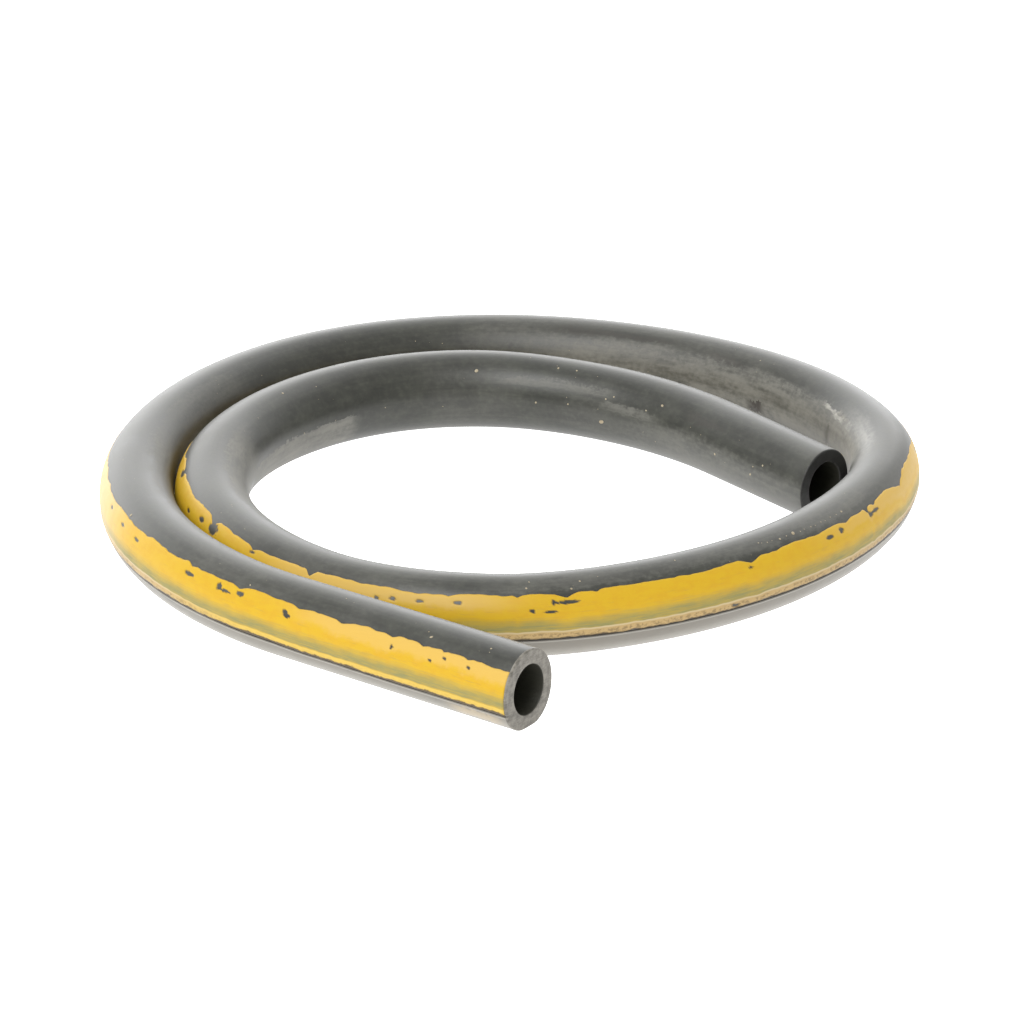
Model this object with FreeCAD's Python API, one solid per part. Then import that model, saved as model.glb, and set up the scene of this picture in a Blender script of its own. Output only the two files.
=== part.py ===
"""A cut length of thick-wall rubber hose with a painted stripe, lying in a flat open coil.

Millimetres, +Z up. The hose lies on the plane z = 0, and the origin is below the middle of the coil.
The coil is followed clockwise, seen from above, from the outer cut end to the inner one. It is a straight
run, a chain of tangent bends and a second straight run. The outer turn lies against the inner one at the
left, and the inner cut end stops just short of the outer turn at the right.
"""
import FreeCAD, Part
import math
import os

# Section of the hose
hose_diameter = 25.4
bore_diameter = 15.9
floor_flat = 0.3

# Painted stripe on the outward side, with angles measured up from the horizontal through the section
stripe_thickness = 0.2
stripe_top_angle = 40.0
stripe_low_angle = -25.0

# Lay of the coil: lengths, bend radii and spaces in millimetres, turns and headings in degrees.
# facing_heading is the outer turn's heading at the place that the inner cut end all but touches.
turn_gap = 0.6
end_gap = 0.6
facing_heading = -95.5
outer_end_heading = 141.4
outer_end_run = 103.1
outer_left_turn = 100.2
back_left_turn = 60.5
back_right_radius = 141.3
back_right_turn = 38.1
right_radius = 86.2
right_turn = 53.3
front_turn = 21.3
inner_left_radius = 103.6
inner_left_turn = 147.2
inner_back_turn = 120.7
inner_end_radius = 195.5
inner_end_turn = 20.1

# How the coil is measured
sample_step = 1.0
least_gap_allowed = 0.4

hose_radius = hose_diameter / 2
bore_radius = bore_diameter / 2
wall_thickness = hose_radius - bore_radius
centre_height = hose_radius - floor_flat
UP = FreeCAD.Vector(0, 0, 1)


def along(heading):
    """Unit vector in plan at a heading given in degrees from +X."""
    angle = math.radians(heading)
    return FreeCAD.Vector(math.cos(angle), math.sin(angle), 0)


def outward(heading):
    """Unit vector in plan to the left of a heading, which is the outer side of a clockwise bend."""
    return along(heading + 90)


class Run:
    """A straight run of the centreline."""

    def __init__(self, start, heading, length):
        self.start = start
        self.heading = heading
        self.length = length

    def facing(self, share):
        """Heading after a share of the way along."""
        return self.heading

    def point(self, share):
        """Place after a share of the way along."""
        return self.start + along(self.heading) * (self.length * share)

    def edge(self):
        return Part.LineSegment(self.point(0), self.point(1)).toShape()


class Bend:
    """A clockwise bend of the centreline."""

    def __init__(self, start, heading, turn, radius):
        self.heading = heading
        self.turn = turn
        self.radius = radius
        self.centre = start - outward(heading) * radius
        self.length = radius * math.radians(turn)

    def facing(self, share):
        """Heading after a share of the way along."""
        return self.heading - self.turn * share

    def point(self, share):
        """Place after a share of the way along."""
        return self.centre + outward(self.facing(share)) * self.radius

    def edge(self):
        return Part.Arc(self.point(0), self.point(0.5), self.point(1)).toShape()


def swing(heading, turn):
    """How far a clockwise bend of unit radius carries the hose."""
    return outward(heading - turn) - outward(heading)


def shares(target, first, second):
    """How much of two directions in plan adds up to a target."""
    scale = first.cross(second).z
    return target.cross(second).z / scale, first.cross(target).z / scale


def fitted_outer_radii(headings, outer_left_radius):
    """Radii of the back left and front bends. They bring the inner left bend round the same centre as the
    outer left one, so that the two turns lie side by side there."""
    target = outward(headings[5]) * inner_left_radius - outward(headings[1]) * outer_left_radius
    target = target - swing(headings[2], back_right_turn) * back_right_radius
    target = target - swing(headings[3], right_turn) * right_radius
    return shares(target, swing(headings[1], back_left_turn), swing(headings[4], front_turn))


def inner_mouth(right_centre, heading):
    """Centre of the inner cut end. The outward corner of the cut lies end_gap inside the right bend."""
    corner = right_centre + outward(facing_heading) * (right_radius - hose_radius - end_gap)
    return corner - outward(heading) * hose_radius


def coil_route():
    """The centreline's runs and bends, from the outer cut end at the plan's zero to the inner one."""
    turns = [outer_left_turn, back_left_turn, back_right_turn, right_turn, front_turn,
             inner_left_turn, inner_back_turn, inner_end_turn]
    headings = [outer_end_heading]
    for turn in turns:
        headings.append(headings[-1] - turn)
    outer_left_radius = inner_left_radius + hose_diameter + turn_gap
    back_left_radius, front_radius = fitted_outer_radii(headings, outer_left_radius)
    radii = [outer_left_radius, back_left_radius, back_right_radius, right_radius, front_radius,
             inner_left_radius]

    route = [Run(FreeCAD.Vector(0, 0, centre_height), outer_end_heading, outer_end_run)]

    def add_bend(bend, radius):
        route.append(Bend(route[-1].point(1), headings[bend], turns[bend], radius))

    for bend, radius in enumerate(radii):
        add_bend(bend, radius)

    # The inner back bend and the last run share out what is left of the way to the inner cut end
    right_bend = route[4]
    left = inner_mouth(right_bend.centre, headings[8]) - route[-1].point(1)
    left = left - swing(headings[7], inner_end_turn) * inner_end_radius
    inner_back_radius, inner_run = shares(left, swing(headings[6], inner_back_turn), along(headings[8]))
    add_bend(6, inner_back_radius)
    add_bend(7, inner_end_radius)
    route.append(Run(route[-1].point(1), headings[8], inner_run))
    return route


def stations(route):
    """Points of the centreline about sample_step apart, each with its distance along and its heading."""
    found = []
    travelled = 0.0
    for stretch in route:
        count = math.ceil(stretch.length / sample_step)
        for index in range(count + 1):
            share = index / count
            distance = travelled + stretch.length * share
            found.append((distance, stretch.point(share), stretch.facing(share)))
        travelled += stretch.length
    return found


def least_gap(found):
    """Smallest space between two turns: from each side of the hose square across to the centreline of
    another turn, less a radius. The cut ends count as sides, and nothing lies square across from them."""
    half_turn = math.pi * (inner_left_radius - hose_radius)
    smallest = math.inf
    for distance, point, facing in found:
        others = [other for other in found[1:-1] if abs(other[0] - distance) > half_turn]
        for side in (1, -1):
            edge = point + outward(facing) * (side * hose_radius)
            for _, other_point, other_facing in others:
                away = edge - other_point
                if abs(away.dot(along(other_facing))) < sample_step:
                    smallest = min(smallest, abs(away.dot(outward(other_facing))) - hose_radius)
    return smallest


def plan_centre(found):
    """Middle of the coil's box in plan, stripe included."""
    xs, ys = [], []
    for _, point, facing in found:
        for reach in (hose_radius + stripe_thickness, -hose_radius):
            edge = point + outward(facing) * reach
            xs.append(edge.x)
            ys.append(edge.y)
    return FreeCAD.Vector((min(xs) + max(xs)) / 2, (min(ys) + max(ys)) / 2, 0)


def spine(route):
    """Wire of the centreline."""
    return Part.Wire([stretch.edge() for stretch in route])


def swept(route, profile):
    """Solid of a closed profile, drawn at the outer cut end, carried along the coil."""
    return spine(route).makePipeShell([profile], True, False)


def ring_profile(route, radius):
    """Circle round the centreline at the outer cut end."""
    circle = Part.Circle(route[0].point(0), along(route[0].heading), radius)
    return Part.Wire([circle.toShape()])


def section_point(route, radius, angle):
    """Point of the hose's section at the outer cut end, at an angle up from the outward side."""
    turned = math.radians(angle)
    across = outward(route[0].heading) * (radius * math.cos(turned))
    return route[0].point(0) + across + UP * (radius * math.sin(turned))


def hose_wall(route):
    """The rubber wall: one unbroken tube with its bore, flattened where it lies on the floor."""
    outside = swept(route, ring_profile(route, hose_radius))
    tube = outside.cut(swept(route, ring_profile(route, bore_radius)))
    span = outside.BoundBox
    below = Part.makeBox(span.XLength + hose_diameter, span.YLength + hose_diameter, hose_diameter)
    below.translate(FreeCAD.Vector(span.XMin - hose_radius, span.YMin - hose_radius, -hose_diameter))
    return tube.cut(below)


def yellow_stripe(route):
    """The painted line: a thin skin on the outward side of the wall, from cut end to cut end."""
    middle_angle = (stripe_top_angle + stripe_low_angle) / 2
    face_radius = hose_radius + stripe_thickness

    def point(radius, angle):
        return section_point(route, radius, angle)

    face = Part.Arc(point(face_radius, stripe_low_angle), point(face_radius, middle_angle),
                    point(face_radius, stripe_top_angle))
    back = Part.Arc(point(hose_radius, stripe_top_angle), point(hose_radius, middle_angle),
                    point(hose_radius, stripe_low_angle))
    top = Part.LineSegment(point(face_radius, stripe_top_angle), point(hose_radius, stripe_top_angle))
    low = Part.LineSegment(point(hose_radius, stripe_low_angle), point(face_radius, stripe_low_angle))
    profile = Part.Wire([face.toShape(), top.toShape(), back.toShape(), low.toShape()])
    return swept(route, profile)


def report(route, found, centre, wall):
    """Prints the coil's measures."""
    length = found[-1][0]
    radii = [stretch.radius for stretch in route if isinstance(stretch, Bend)]
    gap = least_gap(found)
    section = math.pi * (hose_radius ** 2 - bore_radius ** 2)
    print("hose length", round(length, 1), "wall", round(wall_thickness, 2))
    print("bend radii", [round(radius, 1) for radius in radii], "tightest", round(min(radii), 1))
    print("last run", round(route[-1].length, 2))
    print("least gap between turns", round(gap, 3), "ok" if gap > least_gap_allowed else "too small")
    print("volume", round(wall.Volume), "section times length", round(section * length))
    for name, (_, point, facing) in (("outer end", found[0]), ("inner end", found[-1])):
        print(name, [round(value, 3) for value in point - centre], "heading", round(facing, 2))


def main():
    route = coil_route()
    found = stations(route)
    centre = plan_centre(found)
    pieces = {"hose_wall": hose_wall(route), "yellow_stripe": yellow_stripe(route)}
    report(route, found, centre, pieces["hose_wall"])
    os.makedirs("parts", exist_ok=True)
    for name, shape in pieces.items():
        shape.translate(FreeCAD.Vector(0, 0, 0) - centre)
        print(name, "valid", shape.isValid(), "solids", len(shape.Solids), "volume", round(shape.Volume))
        shape.exportStep("parts/" + name + ".step")


main()
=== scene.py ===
"""Looks of a coiled length of thick-wall rubber hose with a worn painted stripe.

Metres, +Z up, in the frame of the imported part: the floor is z = 0 and the origin is below the middle of
the coil. The hose is followed clockwise, seen from above, from its outer cut end to its inner one.
Angles round the hose are measured up from its outward side, so 90 degrees is the top.
"""
import math
import random

import bpy
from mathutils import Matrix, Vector, noise


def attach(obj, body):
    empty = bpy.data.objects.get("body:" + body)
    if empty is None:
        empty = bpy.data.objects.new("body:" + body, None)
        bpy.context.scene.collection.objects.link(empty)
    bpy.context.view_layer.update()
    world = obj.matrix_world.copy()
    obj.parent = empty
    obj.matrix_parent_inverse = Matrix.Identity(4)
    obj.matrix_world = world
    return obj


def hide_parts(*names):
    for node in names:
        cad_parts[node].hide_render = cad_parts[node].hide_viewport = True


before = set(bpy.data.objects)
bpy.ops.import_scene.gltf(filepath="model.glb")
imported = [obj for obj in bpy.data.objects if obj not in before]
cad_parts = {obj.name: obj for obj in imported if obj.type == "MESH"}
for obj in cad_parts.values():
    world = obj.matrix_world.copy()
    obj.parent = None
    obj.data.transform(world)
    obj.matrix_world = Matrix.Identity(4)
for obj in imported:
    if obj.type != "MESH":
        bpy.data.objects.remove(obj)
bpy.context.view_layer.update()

MM = 0.001

# Random sway: where it is read in the noise, row by row and in one layer, and how far it reaches
WOBBLE_ROW = 7.3
WOBBLE_LAYER = 0.5
WOBBLE_REACH = 1.6

# Section of the hose. Widths, heights and the section's shift outward from the line are given at distances
# along, all in millimetres: the hose narrows where it is bent tightly and where its turns press together.
HOSE_DIAMETER = 25.4 * MM
HALF_WIDTHS = [(0, 12.4), (80, 12.0), (92, 11.75), (112, 11.7), (160, 11.75), (210, 11.99), (240, 12.1),
               (290, 11.9), (550, 11.9), (607, 11.3), (665, 11.9), (800, 11.9), (840, 11.7), (880, 11.7),
               (930, 12.01), (962, 12.1), (1010, 11.95), (1110, 11.9), (1228, 12.0)]
HALF_HEIGHTS = [(0, 12.75), (25, 12.8), (70, 12.8), (140, 12.9), (310, 13.0), (650, 13.1), (790, 13.0),
                (845, 12.35), (915, 12.35), (970, 13.0), (1010, 13.1), (1070, 13.1), (1120, 12.7),
                (1180, 12.4), (1228, 12.1)]
SHIFTS = [(0, 0.0), (80, 0.0), (112, 0.15), (160, 0.15), (210, -0.03), (240, -0.15), (290, 0.0), (550, 0.0),
          (607, 0.6), (665, 0.0), (800, 0.0), (840, -0.15), (880, -0.15), (930, 0.03), (962, 0.15),
          (1010, 0.0), (1228, 0.0)]
BORE_RADIUS = 7.95 * MM
BORE_HALF_WIDTH = 7.75 * MM
FLOOR_FLAT = 0.45 * MM
FLAT_EDGE = 0.3 * MM
LINE_HEIGHT = 12.5 * MM
LOWER_FULLNESS = 0.02

# Spacing of the wall's points along the hose and, in degrees, round it. They are closest round the crease.
WALL_STEP = 2.5 * MM
BORE_STEP = 6.0 * MM
WALL_TURN = 4.5
CREASE_TURN = 0.75
CREASE_ZONE = (-38.0, -7.0)

# Cut ends: how far the edges are rounded, as places along the hose and shares of the wall's depth, how
# uneven the faces are, and by how many degrees each cut is out of square
CUT_EDGE = [(0.7 * MM, 0.0), (0.35 * MM, 0.01), (0.12 * MM, 0.04), (0.0, 0.10)]
CUT_FACE = [0.25, 0.45, 0.65, 0.82]
BORE_EDGE = [(0.0, 0.93), (0.10 * MM, 0.98), (0.4 * MM, 1.0)]
CUT_WAVE = 0.10 * MM
CUT_WAVELENGTH = 4 * MM
OUTER_CUT_SLANT = 3.2
INNER_CUT_SLANT = 11.0
SLANTED_RUN = 30 * MM

# Lay of the coil: the outer cut end, its heading in degrees, both straight runs, and between them the radii
# in millimetres of bends that share the whole turn equally
OUTER_END = (6.365 * MM, -146.606 * MM)
OUTER_HEADING = 142.1
OUTER_RUN = 91.0 * MM
INNER_RUN = 51.9 * MM
BEND_RADII = [141.5, 140.0, 132.6, 104.2, 117.2, 146.0, 107.3, 83.3, 138.9, 143.9, 71.9, 95.3, 118.5, 99.4,
              95.1, 77.7, 77.6, 126.7]
WHOLE_TURN = 554.6
CORNERS_PER_BEND = 3
LINE_RESOLUTION = 24

# Painted stripe. Its edges are angles at distances along in millimetres, as the twisted hose carries them.
STRIPE_TOP = [(0, 44), (48, 44), (87, 43), (97, 46), (146, 46), (167, 43), (185, 41.5), (205, 41),
              (222, 37), (245, 34), (300, 38), (395, 46), (560, 40), (586, 33), (598, 46), (612, 47),
              (674, 47), (683, 47), (686, 50), (749, 49), (761, 47), (789, 50), (803, 46), (837, 49),
              (868, 48), (878, 50), (919, 50), (941, 48), (950, 40), (965, 33), (1000, 36), (1087, 44),
              (1228, 45)]
STRIPE_LOW = [(0, -22), (43, -23.5), (77, -22), (97, -19.5), (118, -18.5), (164, -19), (395, -15),
              (593, -13), (631, -16), (675, -16), (731, -16.5), (780, -16), (846, -17), (939, -18),
              (1228, -19)]

# Notches in its top edge: distance along and reach in millimetres, and depth in degrees
NOTCHES = [(16, 2.0, 3), (25, 1.2, 3), (33, 2.5, 3), (45, 2.5, 3), (64, 5, 4), (81, 6, 3), (104.8, 3.5, 5),
           (126.6, 2.5, 3), (154.2, 3, 3), (625, 9, 12), (645.6, 2, 4), (650.6, 1.4, 10), (662.6, 4, 4),
           (705.3, 4.5, 9), (756.9, 1.5, 3), (765.8, 3.5, 6), (779.7, 1.5, 3), (798.5, 2, 4),
           (842.9, 2.5, 11), (867.7, 3, 4), (892.6, 4, 9), (934.3, 3, 6)]
NOTCH_SHARPNESS = 1.4

# Lobes between the notches and fraying of both edges: lengths along the hose, and heights in degrees
LOBE_LENGTH = 16 * MM
LOBE_HEIGHT = 1.7
LOBE_DIP = 2.2
TOP_FRAY_LENGTH = 2.2 * MM
TOP_FRAY_HEIGHT = 1.0
LOW_FRAY_LENGTH = 2.6 * MM
LOW_FRAY_HEIGHT = 0.8

# Thickness of the paint, with a bead along the low edge. Shares are of the way up from the low edge.
STRIPE_THICKNESS = 0.14 * MM
STRIPE_ROOT = 0.20 * MM
STRIPE_EDGE = 0.04 * MM
EDGE_SHARE = 0.02
RISE_SHARE = 0.05
BEAD_THICKNESS = 0.26 * MM
BEAD_SHARES = (0.0, 0.049, 0.084, 0.182)
BEAD_NICK = 0.5
BEAD_NICK_LENGTH = 1.3 * MM
STRIPE_STEP = 0.7 * MM
STRIPE_COLUMNS = 34
STRIPE_BACK_COLUMNS = 5

# Crease in the rubber below the stripe and the ridge under it: their depth and height, and the angles from
# the stripe's low edge between which each comes in and goes out
CREASE_DEPTH = 0.42 * MM
CREASE_TURNS = (-2.6, -1.9, -0.4, 0.6)
RIDGE_HEIGHT = 0.10 * MM
RIDGE_TURNS = (-5.72, -3.9, -3.38, -2.6)

# Chips in the paint: distance along in millimetres, angle, half length and half width in millimetres. The
# paint goes between two shares of that size, along a ragged rim.
CHIPS = [(15, 32, 0.6, 0.6), (24, 34, 0.7, 0.5), (29, 26, 0.8, 0.4), (44, 28, 0.6, 0.7),
         (85, 26, 1.2, 0.7), (86, 30, 0.9, 0.8), (103.8, 34, 1.4, 0.8), (109.8, 30, 2.0, 0.5),
         (112.7, 33, 0.9, 1.3), (126.6, 31, 2.4, 0.6), (158.2, 29, 1.7, 0.5), (171.1, 29, 1.6, 0.5),
         (184.9, 30, 1.3, 0.5), (646.6, 34, 2.6, 0.6), (649.6, 33, 1.1, 0.9), (666.5, 36, 1.1, 0.9),
         (672.5, 35, 1.7, 0.7), (706.3, 35, 0.8, 0.5), (713.2, -11, 1.5, 0.5), (765.8, 35, 3.4, 0.6),
         (769.8, 36, 0.8, 0.9), (770.8, 23, 2.2, 0.35), (775.7, 25, 0.7, 0.7), (795.6, 36, 1.4, 0.6),
         (806.5, 34, 1.2, 0.6), (814.3, 33, 1.1, 0.6), (819.3, 31, 0.6, 0.6), (867.7, 39, 1.2, 0.5),
         (890.6, 35, 2.8, 1.9), (899.6, 34, 1.7, 0.8), (910.5, 27, 1.6, 0.5), (934.3, 39, 2.2, 1.1)]
CHIP_EDGE = (0.75, 1.25)
CHIP_RAGGEDNESS = 0.35
CHIP_GRAIN = 1.3
CHIP_REACH = 1.7
CHIP_SINK = 0.06 * MM
MM_PER_DEGREE = 0.22

# Chips of the same kind scattered behind the coil and towards its inner end
FAR_STRETCHES = [(200, 600), (965, 1228)]
SCATTERED_CHIPS = 46
CHIP_SEED = 11
UPPER_CHIPS = 0.8
UPPER_CHIP_ANGLES = (22, 42)
LOWER_CHIP_ANGLES = (-10, 20)
CHIP_HALF_LENGTHS = (0.4, 2.2)
CHIP_HALF_WIDTHS = (0.4, 0.8)

# Specks of paint on the black rubber: distance along in millimetres, angle, and diameter in millimetres with
# the blur round it, which the scale takes off
SPECKS = [(11, 69, 0.8), (32, 58, 1.0), (34, 65, 0.5), (102, 51, 0.7), (170, 48, 1.3), (661, 60, 0.9),
          (664, 60, 0.45), (667, 61, 0.6), (670, 60, 0.4), (672, 61, 0.55), (675, 60, 0.45), (677, 61, 0.7),
          (680, 62, 0.4), (682, 61, 0.6), (685, 63, 1.5), (688, 63, 0.5), (691, 62, 1.0), (694, 64, 0.4),
          (696, 64, 0.6), (698, 66, 0.45), (699, 68, 0.6), (729, 78, 0.7), (761, 66, 0.8), (764, 54, 1.0),
          (777, 60, 1.0), (776, 72, 0.5), (1079, 134, 1.5), (1103, 176, 0.8), (1116, 171, 0.8),
          (1109, 115, 0.9), (1116, 114, 1.0), (1130, 189, 1.7), (1131, 152, 0.9), (1134, 146, 0.8),
          (1149, 153, 0.8), (1155, 138, 1.1), (1186, 177, 0.9), (1204, 183, 0.9), (1205, 169, 0.7),
          (1209, 161, 0.9), (1000, 108, 1.1), (689, 117, 0.6)]
SPECK_SCALE = 0.75
SPECK_FLATNESS = 0.30
SPECK_LENGTHS = (0.7, 1.5)
SPECK_SEED = 5
SCATTERED_SPECKS = 260
SCATTER_MARGIN = 3
SCATTER_ANGLES = (50, 250)
SCATTER_SIZES = (0.15, 0.42)

# Grey bloom on the rubber: start and end along in millimetres, low and high angle, soft edge, and strength.
# The soft edge is in millimetres along the hose and half as many degrees round it.
BLOOM = [(425, 600, 134, 204, 22, 0.62), (551, 571, 130, 137, 3, 0.80), (958, 1028, 180, 232, 4, 0.75),
         (1088, 1131, 137, 148, 6, 0.35), (1131, 1153, 157, 169, 5, 0.35), (1150, 1228, 168, 235, 24, 0.30),
         (220, 297, 109, 150, 10, 0.18), (120, 235, 112, 152, 14, 0.50), (850, 960, 112, 190, 14, 0.70),
         (400, 520, 85, 135, 14, 0.15), (40, 128, 190, 240, 10, 0.30), (692, 850, 160, 220, 10, 0.35),
         (640, 790, 58, 88, 10, 0.20)]

# Pale scuffs and dark stains on the rubber, in the same terms
SCUFFS = [(553, 562, 130, 136, 2, 0.50), (561, 569, 134, 141, 2, 0.50), (573, 577, 130, 140, 2, 0.20),
          (576, 612, 108, 176, 22, 0.30)]
STAINS = [(511.5, 518.5, 177, 196, 2, 1.0), (559.5, 562.5, 158, 186, 2, 0.70), (430, 475, 112, 124, 6, 0.50),
          (490, 506, 122, 132, 4, 0.40), (1168, 1186, 132, 146, 4, 0.40)]

# The materials measure angles from the bottom, and so many degrees turn a table's angle into theirs
FROM_BOTTOM = 90

# Sandy smudge under the outer end: start, end and soft edge along, and the same in degrees from the bottom
SMUDGE_ALONG = (4 * MM, 21 * MM, 4 * MM)
SMUDGE_ROUND = (42, 60, 5)

# Distances in metres between which a cut face's colour changes from the outer one's grey to the inner one's
# # black of painted shade
HALF_WAY = (0.5, 0.7)

# Stretches where the stripe's upper half is pale: start, end and soft edge in millimetres
PALE_STRETCHES = [(-100, 80, 12), (585, 668, 20), (785, 858, 12)]

# Distances between which a tan bead gives way to the outer run's gold one
GOLD_BEAD_START = (150 * MM, 95 * MM)

# Stretch at the left where the whole stripe is paler and hazier: start, end and soft edge
PALER_AT_LEFT = (180 * MM, 300 * MM, 22 * MM)

# Studio: the floor and the room, and each panel's name, azimuth, elevation, distance, width, height and
# radiance, in degrees and metres
FLOOR_REACH = 4.0
FLOOR_COLOUR = 0.35
FLOOR_GLOW = 1.65
ROOM_LIGHT = 1.0
SOFTBOXES = [("left_front", -142, 48, 2.2, 1.6, 1.4, 7.3),
             ("behind", -18, 16, 2.4, 4.2, 1.6, 2.9),
             ("behind_high", 5, 48, 2.4, 2.6, 1.0, 1.2),
             ("behind_right", 42, 28, 2.4, 1.4, 2.4, 0.65),
             ("overhead", -60, 84, 2.2, 2.0, 1.6, 0.4)]

# Camera, aimed at a point of the floor near the middle of the coil
AIM = (1.3 * MM, 27.7 * MM, 0.0)
CAMERA_ELEVATION = 21.68
CAMERA_DISTANCE = 1.965
FOCAL_PIXELS = 6032.5
PICTURE_PIXELS = 1024
SENSOR_WIDTH = 36.0
NEAREST_SEEN = 0.1
FURTHEST_SEEN = 20.0


class Shade:
    """A material's node tree round one Principled shader."""

    def __init__(self, name):
        self.material = bpy.data.materials.new(name)
        self.material.use_nodes = True
        self.tree = self.material.node_tree
        self.tree.nodes.clear()
        self.surface = self.tree.nodes.new("ShaderNodeBsdfPrincipled")
        output = self.tree.nodes.new("ShaderNodeOutputMaterial")
        self.tree.links.new(self.surface.outputs["BSDF"], output.inputs["Surface"])

    def put(self, socket, value):
        if isinstance(value, Wire):
            self.tree.links.new(value.socket, socket)
        else:
            socket.default_value = value

    def node(self, kind, settings, sockets, output=0):
        """A node of any type, with its settings set first and then its sockets' values or links."""
        made = self.tree.nodes.new("ShaderNode" + kind)
        for name, value in settings.items():
            setattr(made, name, value)
        for name, value in sockets.items():
            self.put(made.inputs[name], value)
        return Wire(self, made.outputs[output])

    def math(self, operation, *values):
        return self.node("Math", {"operation": operation}, dict(enumerate(values)))

    def mix(self, share, first, second):
        """Colour that goes from the first to the second as the share goes from 0 to 1."""
        return self.node("Mix", {"data_type": "RGBA"}, {0: share, 6: first, 7: second}, 2)

    def step(self, value, low, high):
        """Goes smoothly from 0 at low to 1 at high, whichever of the two is the larger."""
        return self.node("MapRange", {"interpolation_type": "SMOOTHSTEP"},
                         {"Value": value, "From Min": low, "From Max": high})

    def window(self, value, low, high, soft):
        """1 between low and high, and 0 outside, with soft edges."""
        return self.step(value, low - soft, low + soft) * self.step(value, high + soft, high - soft)

    def grain(self, place, scale, detail=3.0, rough=0.55):
        """Noise from 0 to 1 at a place."""
        return self.node("TexNoise", {}, {"Vector": place, "Scale": scale, "Detail": detail,
                                          "Roughness": rough})

    def stretched(self, place, *scale):
        """A place whose parts are scaled, so that grain on it is drawn out along the smallest scale."""
        return self.node("VectorMath", {"operation": "MULTIPLY"}, {0: place, 1: scale})

    def attribute(self, name):
        """A vector that is kept with the mesh's points."""
        return self.node("Attribute", {"attribute_name": name}, {}, "Vector")

    def parts(self, vector):
        """The three numbers of a vector."""
        split = self.tree.nodes.new("ShaderNodeSeparateXYZ")
        self.put(split.inputs[0], vector)
        return [Wire(self, socket) for socket in split.outputs]

    def bump(self, height, strength, distance):
        return self.node("Bump", {}, {"Height": height, "Strength": strength, "Distance": distance})

    def finish(self, sockets):
        """The material, once its surface has its colour, roughness and so on."""
        for name, value in sockets.items():
            self.put(self.surface.inputs[name], value)
        return self.material


class Wire:
    """A node's output, on which arithmetic adds Math nodes."""

    def __init__(self, shade, socket):
        self.shade = shade
        self.socket = socket

    def __add__(self, other):
        return self.shade.math("ADD", self, other)

    __radd__ = __add__

    def __sub__(self, other):
        return self.shade.math("SUBTRACT", self, other)

    def __rsub__(self, other):
        return self.shade.math("SUBTRACT", other, self)

    def __mul__(self, other):
        return self.shade.math("MULTIPLY", self, other)

    __rmul__ = __mul__


def heading_vector(heading):
    """Unit vector in plan at a heading given in degrees from +X."""
    angle = math.radians(heading)
    return Vector((math.cos(angle), math.sin(angle), 0))


def smooth(value, low, high):
    """Goes smoothly from 0 at low to 1 at high."""
    share = min(max((value - low) / (high - low), 0.0), 1.0)
    return share * share * (3 - 2 * share)


def band(value, low_out, low_in, top_in, top_out):
    """1 between the two inner limits and 0 past the outer ones, going smoothly between."""
    return smooth(value, low_out, low_in) * (1 - smooth(value, top_in, top_out))


def between(stops, place):
    """Value at a place, smoothly between the stops' values."""
    for (start, first), (end, second) in zip(stops, stops[1:]):
        if place <= end:
            return first + (second - first) * smooth(place, start, end)
    return stops[-1][1]


def make_camera():
    camera = bpy.data.objects.new("camera", bpy.data.cameras.new("camera"))
    bpy.context.scene.collection.objects.link(camera)
    tilt = math.radians(CAMERA_ELEVATION)
    back = Vector((0, -math.cos(tilt), math.sin(tilt)))
    camera.location = Vector(AIM) + back * CAMERA_DISTANCE
    camera.rotation_euler = (math.radians(90 - CAMERA_ELEVATION), 0, 0)
    camera.data.sensor_width = SENSOR_WIDTH
    camera.data.lens = FOCAL_PIXELS / PICTURE_PIXELS * SENSOR_WIDTH
    camera.data.clip_start = NEAREST_SEEN
    camera.data.clip_end = FURTHEST_SEEN
    bpy.context.scene.camera = camera


def route_points():
    """Control points of the hose's centreline: both ends, and the corners of a polygon whose sides touch
    the bends."""
    heading = OUTER_HEADING
    turn = WHOLE_TURN / len(BEND_RADII) / CORNERS_PER_BEND
    place = Vector((*OUTER_END, LINE_HEIGHT))
    points = [place.copy()]
    place += heading_vector(heading) * OUTER_RUN
    for bend, radius in enumerate(BEND_RADII):
        side = radius * MM * math.tan(math.radians(turn / 2))
        if bend == 0:
            points.append(place - heading_vector(heading) * side)
        for _ in range(CORNERS_PER_BEND):
            corner = place + heading_vector(heading) * side
            points.append(corner)
            heading -= turn
            place = corner + heading_vector(heading) * side
    points.append(place + heading_vector(heading) * side)
    points.append(place + heading_vector(heading) * INNER_RUN)
    return points


def route_line():
    """Points along the smooth line through the coil, read from its spline."""
    curve = bpy.data.curves.new("route", "CURVE")
    curve.dimensions = "3D"
    curve.resolution_u = LINE_RESOLUTION
    spline = curve.splines.new("NURBS")
    points = route_points()
    spline.points.add(len(points) - 1)
    for point, place in zip(spline.points, points):
        point.co = (*place, 1)
    spline.order_u = 3
    spline.use_endpoint_u = True
    holder = bpy.data.objects.new("route", curve)
    bpy.context.scene.collection.objects.link(holder)
    line = bpy.data.meshes.new_from_object(holder.evaluated_get(bpy.context.evaluated_depsgraph_get()))
    read = [vertex.co.copy() for vertex in line.vertices]
    bpy.data.objects.remove(holder)
    bpy.data.curves.remove(curve)
    bpy.data.meshes.remove(line)
    return read


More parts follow.
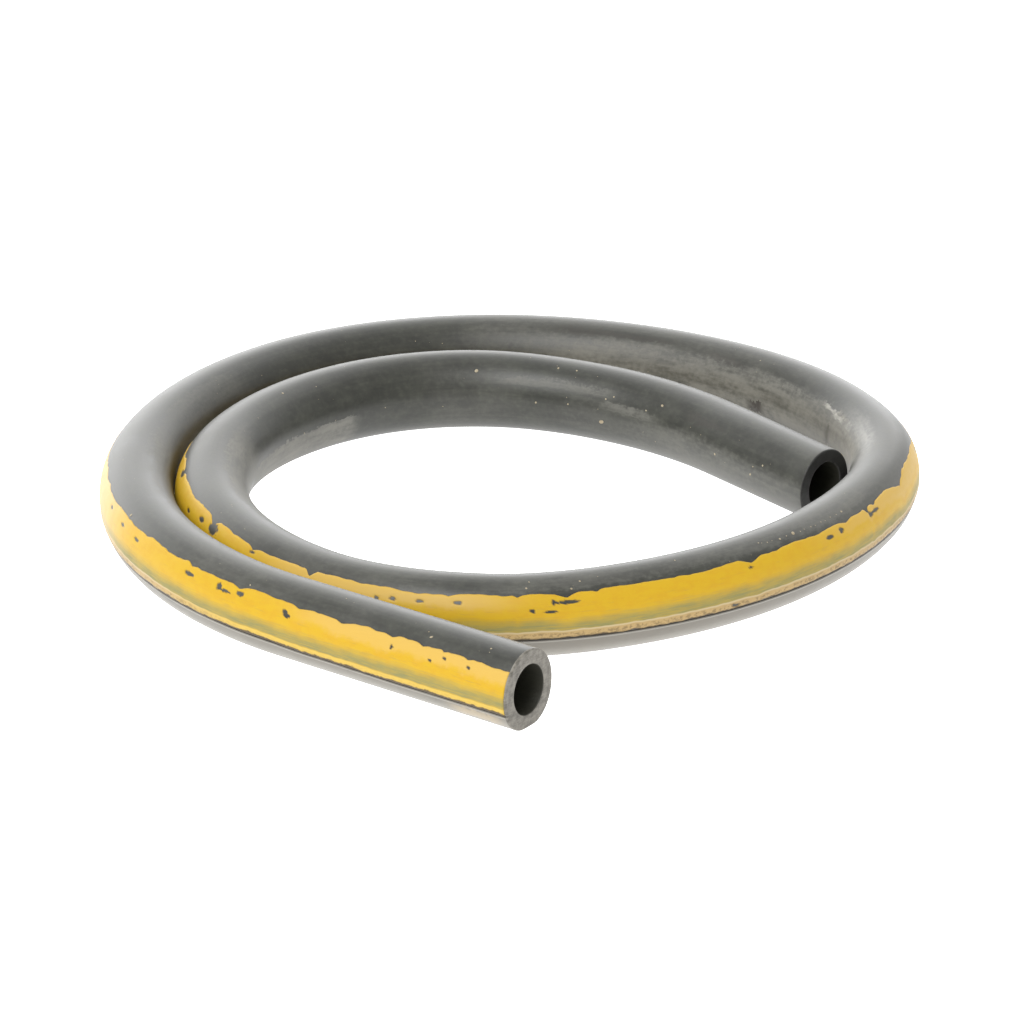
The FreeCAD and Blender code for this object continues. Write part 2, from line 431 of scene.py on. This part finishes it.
class Lay:
    """The smooth line of the hose, by the distance along it."""

    def __init__(self, line):
        self.line = line
        self.reach = [0.0]
        for first, second in zip(line, line[1:]):
            self.reach.append(self.reach[-1] + (second - first).length)
        self.length = self.reach[-1]
        ahead = [(second - first).normalized() for first, second in zip(line, line[1:])]
        pairs = zip(ahead[:1] + ahead, ahead + ahead[-1:])
        self.forward = [(first + second).normalized() for first, second in pairs]

    def at(self, distance):
        """Place and forward direction at a distance along."""
        low, high = 0, len(self.reach) - 1
        while high - low > 1:
            middle = (low + high) // 2
            if self.reach[middle] <= distance:
                low = middle
            else:
                high = middle
        share = (distance - self.reach[low]) / (self.reach[high] - self.reach[low])
        place = self.line[low].lerp(self.line[high], share)
        return place, self.forward[low].lerp(self.forward[high], share).normalized()

    def point(self, distance, across, up):
        """Place so far outward and up from the line at a distance along. The cut ends are slanted."""
        outer_share = 1 - smooth(distance, 0, SLANTED_RUN)
        inner_share = smooth(distance - self.length, -SLANTED_RUN, 0)
        out_of_square = math.tan(math.radians(OUTER_CUT_SLANT)) * outer_share
        out_of_square += math.tan(math.radians(INNER_CUT_SLANT)) * inner_share
        place, forward = self.at(distance - across * out_of_square)
        return place + Vector((-forward.y, forward.x, 0)) * across + Vector((0, 0, up))


def outside(distance, angle, raised=0.0):
    """How far outward and up the hose's outside lies from its line, at an angle in degrees."""
    turned = math.radians(angle)
    fuller = 1 + LOWER_FULLNESS * math.sin(2 * turned) ** 2 if math.sin(turned) < 0 else 1
    half_height = between(HALF_HEIGHTS, distance / MM) * MM
    across = (between(HALF_WIDTHS, distance / MM) * MM * fuller + raised) * math.cos(turned)
    up = (half_height * fuller + raised) * math.sin(turned) + half_height - FLOOR_FLAT - LINE_HEIGHT
    over_floor = up + LINE_HEIGHT
    up = (over_floor + math.hypot(over_floor, FLAT_EDGE)) / 2 - LINE_HEIGHT
    return Vector((across + between(SHIFTS, distance / MM) * MM, up))


def bore(distance, angle):
    """How far outward and up the bore's wall lies from the hose's line."""
    turned = math.radians(angle)
    middle = between(HALF_HEIGHTS, distance / MM) * MM - FLOOR_FLAT - LINE_HEIGHT
    across = BORE_HALF_WIDTH * math.cos(turned) + between(SHIFTS, distance / MM) * MM
    return Vector((across, BORE_RADIUS * math.sin(turned) + middle))


def evenly(start, end, step):
    """Numbers from start to end, evenly spaced and at most a step apart."""
    count = math.ceil(abs(end - start) / step)
    return [start + (end - start) * index / count for index in range(count + 1)]


def wobble(distance, wavelength, row):
    """Smooth random sway from about -1 to 1 along the hose, different in each row."""
    return noise.noise(Vector((distance / wavelength, row * WOBBLE_ROW, WOBBLE_LAYER))) * WOBBLE_REACH


def stripe_edges(distance):
    """Low and top edge of the stripe in degrees. The top edge is a row of lobes with notches between."""
    lobes = LOBE_HEIGHT * (1 - abs(wobble(distance, LOBE_LENGTH, 1)) * LOBE_DIP)
    lobes += TOP_FRAY_HEIGHT * wobble(distance, TOP_FRAY_LENGTH, 2)
    top = between(STRIPE_TOP, distance / MM) + lobes
    for place, reach, depth in NOTCHES:
        away = abs(distance / MM - place) / reach
        if away < 1:
            top -= depth * (1 - away) ** NOTCH_SHARPNESS
    low = between(STRIPE_LOW, distance / MM) + LOW_FRAY_HEIGHT * wobble(distance, LOW_FRAY_LENGTH, 3)
    return low, top


def crease(distance, angle):
    """How much of the groove below the stripe there is, and of the ridge under it, both from 0 to 1."""
    away = angle - between(STRIPE_LOW, distance / MM)
    return band(away, *CREASE_TURNS), band(away, *RIDGE_TURNS)


def mesh_piece(name, rings, faces, materials, face_materials, attributes):
    """A smooth mesh object of rings of points, with attributes that its materials read."""
    mesh = bpy.data.meshes.new(name)
    mesh.from_pydata([tuple(point) for ring in rings for point in ring], [], faces)
    for material in materials:
        mesh.materials.append(material)
    mesh.polygons.foreach_set("material_index", face_materials)
    mesh.polygons.foreach_set("use_smooth", [True] * len(faces))
    for attribute, values in attributes.items():
        stored = mesh.attributes.new(attribute, "FLOAT_VECTOR", "POINT")
        stored.data.foreach_set("vector", [number for value in values for number in value])
    mesh.update()
    piece = bpy.data.objects.new(name, mesh)
    bpy.context.scene.collection.objects.link(piece)
    return piece


def ring_faces(ring, following, columns):
    """Faces between two closed rings of so many points."""
    first, second = ring * columns, following * columns
    for column in range(columns):
        beside = (column + 1) % columns
        yield first + column, first + beside, second + beside, second + column


def wall_angles():
    """Angles of the wall's points round the hose, closer together where the crease runs."""
    angles = [-90.0]
    while angles[-1] < 270 - WALL_TURN:
        in_crease = CREASE_ZONE[0] <= angles[-1] < CREASE_ZONE[1]
        angles.append(angles[-1] + (CREASE_TURN if in_crease else WALL_TURN))
    return angles


def wall_stations(length):
    """Rings of the wall, once round its whole surface: each ring's distance along, its depth in the wall
    from 0 outside to 1 at the bore, and the number of the finish that the faces after it have."""
    outer, cut, inner = 0, 1, 2
    start = [(place, depth, cut) for place, depth in reversed(CUT_EDGE[1:])]
    run = [(place, 0.0, outer) for place in evenly(CUT_EDGE[0][0], length - CUT_EDGE[0][0], WALL_STEP)]
    end = [(length - place, depth, cut) for place, depth in CUT_EDGE[1:]]
    end += [(length, depth, cut) for depth in CUT_FACE]
    end += [(length - place, depth, cut) for place, depth in BORE_EDGE[:-1]]
    back_from, back_to = length - BORE_EDGE[-1][0], BORE_EDGE[-1][0]
    back = [(place, 1.0, inner) for place in evenly(back_from, back_to, BORE_STEP)]
    near = [(place, depth, cut) for place, depth in reversed(BORE_EDGE[:-1])]
    near += [(0.0, depth, cut) for depth in reversed(CUT_FACE)]
    return start + run + end + back + near


def wall_point(lay, distance, depth, angle):
    """Place of a point of the wall, where it is on the hose laid straight, and its crease."""
    groove, ridge = crease(distance, angle) if depth < CUT_EDGE[-1][1] else (0.0, 0.0)
    raised = ridge * RIDGE_HEIGHT - groove * CREASE_DEPTH
    across, up = outside(distance, angle, raised).lerp(bore(distance, angle), depth)
    shift = 0.0
    if 0 < depth < 1:
        uneven = noise.noise(Vector((across, up, distance)) / CUT_WAVELENGTH)
        shift = CUT_WAVE * uneven * 4 * depth * (1 - depth)
    along = min(max(distance + shift, 0.0), lay.length)
    return lay.point(along, across, up), (along, across, up), (groove, ridge, 0.0)


def hose_wall(lay, materials):
    """The rubber wall with its bore and both cut ends, as one closed surface."""
    stations = wall_stations(lay.length)
    angles = wall_angles()
    rings, straight, creases = [], [], []
    for distance, depth, _ in stations:
        points = [wall_point(lay, distance, depth, angle) for angle in angles]
        rings.append([point for point, _, _ in points])
        straight += [laid for _, laid, _ in points]
        creases += [groove for _, _, groove in points]
    faces, finishes = [], []
    for ring, (_, _, finish) in enumerate(stations):
        faces += ring_faces(ring, (ring + 1) % len(stations), len(angles))
        finishes += [finish] * len(angles)
    return mesh_piece("rubber_wall", rings, faces, materials, finishes,
                      {"laid_straight": straight, "crease": creases})


def all_chips(length):
    """The chips in the paint that are given, and more of the same kind on the far stretches."""
    draw = random.Random(CHIP_SEED)
    chips = list(CHIPS)
    while len(chips) < len(CHIPS) + SCATTERED_CHIPS:
        place = draw.uniform(0, length / MM)
        angle = draw.uniform(*(UPPER_CHIP_ANGLES if draw.random() < UPPER_CHIPS else LOWER_CHIP_ANGLES))
        half_length = draw.uniform(*CHIP_HALF_LENGTHS)
        half_width = draw.uniform(*CHIP_HALF_WIDTHS)
        if any(start < place < end for start, end in FAR_STRETCHES):
            chips.append((place, angle, half_length, half_width))
    return chips


def chipped(chips, distance, angle):
    """How far the paint is gone at a place, from 0 to 1."""
    gone = 0.0
    for place, middle, half_length, half_width in chips:
        along = (distance / MM - place) / half_length
        around = math.radians(angle - middle) * HOSE_DIAMETER / 2 / MM / half_width
        spot = Vector((distance / MM, angle * MM_PER_DEGREE, place))
        ragged = CHIP_RAGGEDNESS * noise.noise(spot * CHIP_GRAIN)
        gone = max(gone, 1 - smooth(math.hypot(along, around) + ragged, *CHIP_EDGE))
    return gone


def paint_height(distance, share):
    """Height of the paint over the rubber, at a share of the way from the low edge to the top one."""
    edge = min(share, 1 - share)
    height = STRIPE_THICKNESS * smooth(edge, 0.0, RISE_SHARE)
    nick = 1 - BEAD_NICK / 2 + BEAD_NICK * wobble(distance, BEAD_NICK_LENGTH, 4)
    height += (BEAD_THICKNESS - STRIPE_THICKNESS) * band(share, *BEAD_SHARES) * nick
    return height - STRIPE_EDGE * (1 - smooth(edge, 0.0, EDGE_SHARE))


def stripe_skin(lay, material):
    """The paint: a thin closed skin whose face stands on the rubber and whose back lies inside it."""
    chips = all_chips(lay.length)
    rings, straight, paint = [], [], []
    for distance in evenly(CUT_EDGE[0][0], lay.length - CUT_EDGE[0][0], STRIPE_STEP):
        low, top = stripe_edges(distance)
        close = [chip for chip in chips if abs(distance / MM - chip[0]) < chip[2] * CHIP_REACH]
        ring = []
        for column in range(STRIPE_COLUMNS + STRIPE_BACK_COLUMNS):
            if column <= STRIPE_COLUMNS:
                share = column / STRIPE_COLUMNS
                angle = low + (top - low) * share
                gone = chipped(close, distance, angle)
                height = paint_height(distance, share) * (1 - gone) - CHIP_SINK * gone
            else:
                share = 1 - (column - STRIPE_COLUMNS) / STRIPE_BACK_COLUMNS
                angle, gone, height = low + (top - low) * share, 0.0, -STRIPE_ROOT
            across, up = outside(distance, angle, height)
            ring.append(lay.point(distance, across, up))
            straight.append((distance, across, up))
            paint.append((distance, share, gone))
        rings.append(ring)
    columns = len(rings[0])
    faces = []
    for ring in range(len(rings) - 1):
        faces += ring_faces(ring, ring + 1, columns)
    last = (len(rings) - 1) * columns
    faces.append(tuple(range(columns))[::-1])
    faces.append(tuple(last + column for column in range(columns)))
    return mesh_piece("painted_stripe", rings, faces, [material], [0] * len(faces),
                      {"laid_straight": straight, "paint": paint})


def speck_tree(material):
    """Puts a small flattened blob on each point, turned and drawn out at random. Its size and the way it
    faces come with the points."""
    tree = bpy.data.node_groups.new("paint_specks", "GeometryNodeTree")
    for name, kind, way in (("Points", "NodeSocketGeometry", "INPUT"),
                            ("Flatness", "NodeSocketFloat", "INPUT"),
                            ("Seed", "NodeSocketInt", "INPUT"),
                            ("Specks", "NodeSocketGeometry", "OUTPUT")):
        tree.interface.new_socket(name=name, in_out=way, socket_type=kind)

    def node(kind, **settings):
        made = tree.nodes.new(kind)
        for name, value in settings.items():
            setattr(made, name, value)
        return made

    link = tree.links.new
    given, made = node("NodeGroupInput"), node("NodeGroupOutput")
    blob = node("GeometryNodeMeshIcoSphere")
    blob.inputs["Radius"].default_value = 0.5
    blob.inputs["Subdivisions"].default_value = 2
    size = node("GeometryNodeInputNamedAttribute", data_type="FLOAT")
    size.inputs["Name"].default_value = "size"
    facing = node("GeometryNodeInputNamedAttribute", data_type="FLOAT_VECTOR")
    facing.inputs["Name"].default_value = "facing"
    aligned = node("FunctionNodeAlignRotationToVector", axis="Z")
    link(facing.outputs["Attribute"], aligned.inputs["Vector"])
    spin = node("FunctionNodeRandomValue", data_type="FLOAT")
    spin.inputs[3].default_value = math.tau
    link(given.outputs["Seed"], spin.inputs["Seed"])
    turn = node("FunctionNodeAxisAngleToRotation")
    turn.inputs["Axis"].default_value = (0, 0, 1)
    link(spin.outputs[1], turn.inputs["Angle"])
    turned = node("FunctionNodeRotateRotation", rotation_space="LOCAL")
    link(aligned.outputs["Rotation"], turned.inputs["Rotation"])
    link(turn.outputs["Rotation"], turned.inputs["Rotate By"])
    longer = node("FunctionNodeRandomValue", data_type="FLOAT")
    longer.inputs[2].default_value, longer.inputs[3].default_value = SPECK_LENGTHS
    link(given.outputs["Seed"], longer.inputs["Seed"])
    shape = node("ShaderNodeCombineXYZ")
    link(longer.outputs[1], shape.inputs["X"])
    shape.inputs["Y"].default_value = 1.0
    link(given.outputs["Flatness"], shape.inputs["Z"])
    scale = node("ShaderNodeVectorMath", operation="SCALE")
    link(shape.outputs["Vector"], scale.inputs[0])
    link(size.outputs["Attribute"], scale.inputs["Scale"])
    placed = node("GeometryNodeInstanceOnPoints")
    link(given.outputs["Points"], placed.inputs["Points"])
    link(blob.outputs["Mesh"], placed.inputs["Instance"])
    link(turned.outputs["Rotation"], placed.inputs["Rotation"])
    link(scale.outputs["Vector"], placed.inputs["Scale"])
    real = node("GeometryNodeRealizeInstances")
    link(placed.outputs["Instances"], real.inputs["Geometry"])
    painted = node("GeometryNodeSetMaterial")
    painted.inputs["Material"].default_value = material
    link(real.outputs["Geometry"], painted.inputs["Geometry"])
    link(painted.outputs["Geometry"], made.inputs["Specks"])
    return tree


def paint_specks(lay, material):
    """Drops of paint that landed on the rubber beside the stripe."""
    draw = random.Random(SPECK_SEED)
    specks = list(SPECKS)
    for _ in range(SCATTERED_SPECKS):
        place = draw.uniform(SCATTER_MARGIN, lay.length / MM - SCATTER_MARGIN)
        specks.append((place, draw.uniform(*SCATTER_ANGLES), draw.uniform(*SCATTER_SIZES)))
    mesh = bpy.data.meshes.new("speck_points")
    places, facings, sizes = [], [], []
    for distance, angle, size in specks:
        across, up = outside(distance * MM, angle)
        further_across, further_up = outside(distance * MM, angle, 1 * MM)
        place = lay.point(distance * MM, across, up)
        places.append(tuple(place))
        facings += (lay.point(distance * MM, further_across, further_up) - place)[:]
        sizes.append(size * SPECK_SCALE * MM)
    mesh.from_pydata(places, [], [])
    mesh.attributes.new("facing", "FLOAT_VECTOR", "POINT").data.foreach_set("vector", facings)
    mesh.attributes.new("size", "FLOAT", "POINT").data.foreach_set("value", sizes)
    holder = bpy.data.objects.new("speck_points", mesh)
    bpy.context.scene.collection.objects.link(holder)
    tree = speck_tree(material)
    modifier = holder.modifiers.new("specks", "NODES")
    modifier.node_group = tree
    sockets = {socket.name: socket.identifier for socket in tree.interface.items_tree}
    modifier[sockets["Flatness"]] = SPECK_FLATNESS
    modifier[sockets["Seed"]] = SPECK_SEED
    done = bpy.data.meshes.new_from_object(holder.evaluated_get(bpy.context.evaluated_depsgraph_get()))
    bpy.data.objects.remove(holder)
    piece = bpy.data.objects.new("paint_specks", done)
    bpy.context.scene.collection.objects.link(piece)
    return piece


def angle_of(shade, place):
    """Angle round the hose in degrees, from the bottom and up over the outward side, and distance along."""
    distance, across, up = shade.parts(place)
    turned = shade.math("ARCTAN2", across, up * -1.0)
    whole = shade.math("WRAP", turned, math.tau, 0.0)
    return whole * math.degrees(1.0), distance


def patches(shade, table, distance, angle, ragged):
    """Soft-edged patches from a table, added up. The raggedness moves their long edges."""
    whole = 0.0
    for start, end, low, high, soft, strength in table:
        patch = shade.window(distance, start * MM, end * MM, soft * MM)
        patch = patch * shade.window(angle + ragged, low + FROM_BOTTOM, high + FROM_BOTTOM, soft / 2)
        whole = patch * strength + whole
    return whole


def rubber():
    """Satin black rubber with lengthwise extrusion streaks, dusty mottling, patches of grey bloom, a few
    pale scuffs and dark stains, a pale lower flank below the stripe that is dust and a painted reflection
    of the floor, a painted highlight on the ridge and painted shade in the crease."""
    shade = Shade("satin_black_rubber")
    place = shade.attribute("laid_straight")
    groove, ridge, _ = shade.parts(shade.attribute("crease"))
    angle, distance = angle_of(shade, place)
    streak = shade.grain(shade.stretched(place, 30, 650, 650), 1.0, 4.0, 0.6)
    smear = shade.grain(shade.stretched(place, 60, 260, 260), 1.0, 4.0, 0.65)
    mottle = shade.grain(place, 110, 5.0, 0.62)
    fleck = shade.grain(shade.stretched(place, 480, 620, 620), 1.0, 4.0, 0.6)
    cloud = shade.grain(place, 14, 2.0)
    fine = shade.grain(place, 1400, 2.0)
    clean = (0.0085, 0.0090, 0.0052, 1)
    dusted = (0.031, 0.0322, 0.0228, 1)
    upper_flank_dust_and_reflection = (0.120, 0.109, 0.088, 1)
    lower_flank_dust_and_reflection = (0.162, 0.151, 0.126, 1)
    bloomed = (0.165, 0.160, 0.140, 1)
    chalky = (0.380, 0.370, 0.330, 1)
    stained = (0.016, 0.012, 0.008, 1)
    ridge_highlight = (0.26, 0.25, 0.225, 1)
    sandy = (0.32, 0.25, 0.15, 1)
    crease_shade = (0.012, 0.009, 0.006, 1)

    # Black under a mottled film of dust
    dusty = shade.step(mottle, 0.40, 0.70) * 0.40 + shade.step(streak, 0.4, 0.7) * 0.25
    dusty = dusty + shade.step(fleck, 0.42, 0.72) * 0.35
    colour = shade.mix(dusty, clean, dusted)

    # Pale lower flank, palest near the floor: dust and a painted reflection of the bright floor
    flank_dust_and_reflection = shade.step(angle + (smear - 0.5) * 10, 79, 70)
    flank_dust_and_reflection = flank_dust_and_reflection * shade.step(smear * 0.5 + mottle * 0.5, 0.15, 0.5)
    nearer_floor = shade.step(angle + (mottle - 0.5) * 16, 60, 38)
    colour = shade.mix(flank_dust_and_reflection, colour, shade.mix(nearer_floor, upper_flank_dust_and_reflection, lower_flank_dust_and_reflection))

    # Bloom, scuffs and stains
    sway = (smear - 0.5) * 24
    bloom = shade.step(cloud, 0.45, 0.65) * 0.16
    bloom = bloom + patches(shade, BLOOM, distance, angle, sway + (fleck - 0.5) * 16)
    bloom = bloom * (shade.step(smear * 0.5 + streak * 0.2 + fleck * 0.3, 0.32, 0.62) * 0.75 + 0.25)
    colour = shade.mix(bloom, colour, bloomed)
    scuff = patches(shade, SCUFFS, distance, angle, sway * 0.75 + (fleck - 0.5) * 10)
    scuff = scuff * (shade.step(streak * 0.4 + fleck * 0.6, 0.36, 0.60) * 0.5 + 0.5)
    colour = shade.mix(scuff, colour, chalky)
    stain = patches(shade, STAINS, distance, angle, sway + (fleck - 0.5) * 30)
    stain = stain * (shade.step(mottle * 0.5 + fleck * 0.5, 0.30, 0.55) * 0.6 + 0.4)
    colour = shade.mix(stain, colour, stained)

    # Painted highlight on the ridge, sandy smudge, and painted shade in the crease
    colour = shade.mix(ridge * 0.55, colour, ridge_highlight)
    smudge = shade.window(distance, *SMUDGE_ALONG) * shade.window(angle + (fleck - 0.5) * 20, *SMUDGE_ROUND)
    colour = shade.mix(smudge * 0.6, colour, sandy)
    # Painted shade darkens the crease where it lies under the stripe's edge
    dark = shade.step(groove + (smear - 0.5) * 0.5, 0.30, 0.60)
    colour = shade.mix(dark, colour, crease_shade)
    rough = 0.29 + mottle * 0.10 + streak * 0.05 + fleck * 0.08 + bloom * 0.35
    bumps = shade.bump(streak * 0.3 + fine * 0.25 + mottle * 0.25 + fleck * 0.2, 0.25, 0.0002)
    return shade.finish({"Base Color": colour, "Roughness": rough, "Normal": bumps})


def cut_rubber():
    """Cut faces with faint knife marks: the outer one weathered to a dull grey, the inner one painted black
    as the shade of the outer turn close in front of it.
    """
    shade = Shade("cut_rubber")
    place = shade.attribute("laid_straight")
    distance, _, _ = shade.parts(place)
    marks = shade.grain(shade.stretched(place, 300, 300, 2500), 1.0, 3.0)
    mottle = shade.grain(place, 420, 4.0, 0.6)
    worn = shade.step(mottle * 0.65 + marks * 0.35, 0.36, 0.64)
    dull_greys = (0.066, 0.060, 0.048, 1), (0.152, 0.141, 0.118, 1)
    # The inner face's blacks are painted shade from the outer turn in front of it
    shaded_blacks = (0.006, 0.006, 0.005, 1), (0.014, 0.014, 0.012, 1)
    to_shaded_inner = shade.step(distance, *HALF_WAY)
    colour = shade.mix(to_shaded_inner, shade.mix(worn, *dull_greys), shade.mix(worn, *shaded_blacks))
    bumps = shade.bump(marks, 0.3, 0.0002)
    return shade.finish({"Base Color": colour, "Roughness": 0.62, "Normal": bumps})


def bore_rubber():
    """Duller, slightly brown rubber of the bore."""
    shade = Shade("bore_rubber")
    place = shade.attribute("laid_straight")
    streak = shade.grain(shade.stretched(place, 30, 700, 700), 1.0, 3.0)
    dark, brownish = (0.012, 0.012, 0.008, 1), (0.026, 0.025, 0.016, 1)
    colour = shade.mix(streak, dark, brownish)
    bumps = shade.bump(streak, 0.3, 0.0003)
    return shade.finish({"Base Color": colour, "Roughness": 0.55, "Normal": bumps})


def stripe_paint():
    """Yellow paint: a dark ragged low edge that is painted shade under the bead, a pale bead over it,
    a worn olive band, then full yellow that pales towards the top edge on some stretches."""
    shade = Shade("worn_yellow_paint")
    place = shade.attribute("laid_straight")
    distance, share, gone = shade.parts(shade.attribute("paint"))
    streak = shade.grain(shade.stretched(place, 70, 1500, 1500), 1.0, 4.0, 0.65)
    hair = shade.grain(shade.stretched(place, 110, 3600, 3600), 1.0, 3.0, 0.6)
    brush = shade.grain(shade.stretched(place, 160, 800, 800), 1.0, 4.0, 0.6)
    blotch = shade.grain(place, 300, 4.0, 0.6)
    cloud = shade.grain(place, 30, 2.0)
    tick = shade.grain(shade.stretched(place, 800, 1000, 1000), 1.0, 3.0, 0.6)
    fine = shade.grain(place, 1800, 2.0)
    full = (0.385, 0.238, 0.003, 1)
    deep = (0.372, 0.208, 0.003, 1)
    pale = (0.402, 0.257, 0.046, 1)
    haze = (0.470, 0.375, 0.235, 1)
    worn = (0.150, 0.143, 0.050, 1)
    gold = (0.420, 0.285, 0.045, 1)
    tan = (0.295, 0.206, 0.092, 1)
    cream = (0.360, 0.285, 0.165, 1)
    umber_dirt_and_shade = (0.070, 0.046, 0.014, 1)
    # Near-black painted shade along the low edge under the bead
    edge_shade = (0.042, 0.025, 0.004, 1)
    colour = shade.mix(shade.step(blotch * 0.6 + brush * 0.4, 0.42, 0.62) * 0.6, full, deep)

    # Paler upper half on some stretches, and a dull rim along the top edge
    stretches = 0.0
    for start, end, soft in PALE_STRETCHES:
        stretches = shade.window(distance, start * MM, end * MM, soft * MM) + stretches
    paling = shade.step(share + (blotch - 0.5) * 0.3 + (cloud - 0.5) * 0.3, 0.60, 0.78)
    colour = shade.mix(paling * stretches * 0.9, colour, pale)
    colour = shade.mix(shade.step(share, 0.975, 0.995) * 0.45, colour, shade.mix(0.5, deep, umber_dirt_and_shade))

    # Worn olive band, fading upwards, with fine lengthwise scuffs
    fading = share + (streak - 0.5) * 0.14 + (hair - 0.5) * 0.30 + (cloud - 0.5) * 0.10
    wear = shade.step(fading, 0.54, 0.27) * shade.step(share, 0.14, 0.21)
    wear = wear * (shade.step(hair * 0.6 + brush * 0.4, 0.38, 0.62) * 0.40 + 0.60)
    scuff = shade.step(hair * 0.5 + brush * 0.5, 0.56, 0.66) * shade.window(share, 0.20, 0.72, 0.12) * 0.30
    colour = shade.mix(wear, colour, worn)
    colour = shade.mix(scuff, colour, worn)

    # Bead along the low edge: gold on the outer run, elsewhere tan and mottled with a cream upper line
    outer_run = shade.step(distance, *GOLD_BEAD_START)
    bead = shade.step(share + outer_run * 0.030 + (streak - 0.5) * 0.03, 0.215, 0.185)
    line = shade.window(share, 0.165, 0.205, 0.015)
    colour = shade.mix(bead * 0.9, colour, shade.mix(outer_run, shade.mix(line, tan, cream), gold))
    mottled = shade.step(tick * 0.7 + blotch * 0.3, 0.46, 0.59) * shade.window(share, 0.035, 0.140, 0.025)
    colour = shade.mix(mottled * (0.55 - outer_run * 0.45), colour, umber_dirt_and_shade)

    # Dark ragged low edge, widest on the outer run: painted shade under the bead's edge, umber then
    # near-black
    reach = outer_run * 0.036 + 0.022
    ragged = share + (tick - 0.5) * 0.06 + (blotch - 0.5) * 0.13
    colour = shade.mix(shade.step(ragged - reach, 0.030, 0.006) * 0.75, colour, umber_dirt_and_shade)
    colour = shade.mix(shade.step(ragged - reach, 0.010, -0.008) * 0.95, colour, edge_shade)

    # Dark rims of the chips, and all of it paler and hazier where the hose turns away at the left
    colour = shade.mix(shade.step(gone, 0.10, 0.60) * 0.7, colour, umber_dirt_and_shade)
    colour = shade.mix(shade.window(distance, *PALER_AT_LEFT) * 0.55, colour, haze)
    rough = 0.42 + blotch * 0.16 + wear * 0.10
    bumps = shade.bump(streak * 0.45 + fine * 0.25 + brush * 0.3, 0.2, 0.0002)
    return shade.finish({"Base Color": colour, "Roughness": rough, "Specular IOR Level": 0.30,
                         "Normal": bumps})


def speck_paint():
    """Pale dried drops of the stripe's paint."""
    shade = Shade("dried_paint_drops")
    grain = shade.grain(shade.attribute("position"), 400, 2.0)
    ochre, cream = (0.17, 0.13, 0.07, 1), (0.30, 0.26, 0.18, 1)
    colour = shade.mix(grain, ochre, cream)
    return shade.finish({"Base Color": colour, "Roughness": 0.6})


def softbox(name, azimuth, elevation, distance, width, height, radiance):
    """Soft panel light that faces the coil. Azimuth goes from straight behind round to the right."""
    light = bpy.data.lights.new(name, "AREA")
    light.shape = "RECTANGLE"
    light.size = width
    light.size_y = height
    light.energy = radiance * math.pi * width * height
    lamp = bpy.data.objects.new(name, light)
    around, up = math.radians(azimuth), math.radians(elevation)
    toward = Vector((math.sin(around) * math.cos(up), math.cos(around) * math.cos(up), math.sin(up)))
    lamp.location = toward * distance
    lamp.rotation_euler = toward.to_track_quat("Z", "Y").to_euler()
    bpy.context.scene.collection.objects.link(lamp)


def studio():
    """White glowing floor, pale surroundings, and soft panels at the left, behind and overhead."""
    floor_mesh = bpy.data.meshes.new("floor")
    corners = [(x * FLOOR_REACH, y * FLOOR_REACH, 0) for x, y in ((-1, -1), (1, -1), (1, 1), (-1, 1))]
    floor_mesh.from_pydata(corners, [], [(0, 1, 2, 3)])
    floor = bpy.data.objects.new("floor", floor_mesh)
    bpy.context.scene.collection.objects.link(floor)
    shade = Shade("white_floor")
    pale = (FLOOR_COLOUR, FLOOR_COLOUR, FLOOR_COLOUR, 1)
    glow = {"Emission Color": (1, 1, 1, 1), "Emission Strength": FLOOR_GLOW}
    floor_mesh.materials.append(shade.finish({"Base Color": pale, "Roughness": 0.9, **glow}))

    world = bpy.data.worlds.new("pale_room")
    world.use_nodes = True
    background = world.node_tree.nodes["Background"]
    background.inputs["Color"].default_value = (1, 1, 1, 1)
    background.inputs["Strength"].default_value = ROOM_LIGHT
    bpy.context.scene.world = world
    for box in SOFTBOXES:
        softbox(*box)
    bpy.context.scene.view_settings.view_transform = "Standard"


def main():
    make_camera()
    line = route_line()
    lay = Lay(line)
    print("hose length", round(lay.length, 4))
    wall = hose_wall(lay, [rubber(), cut_rubber(), bore_rubber()])
    stripe = stripe_skin(lay, stripe_paint())
    specks = paint_specks(lay, speck_paint())
    for piece, slot in ((wall, "black_rubber"), (stripe, "stripe_paint"), (specks, "stripe_paint")):
        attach(piece, "root")
    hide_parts("hose_wall")
    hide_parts("yellow_stripe")
    studio()


main()
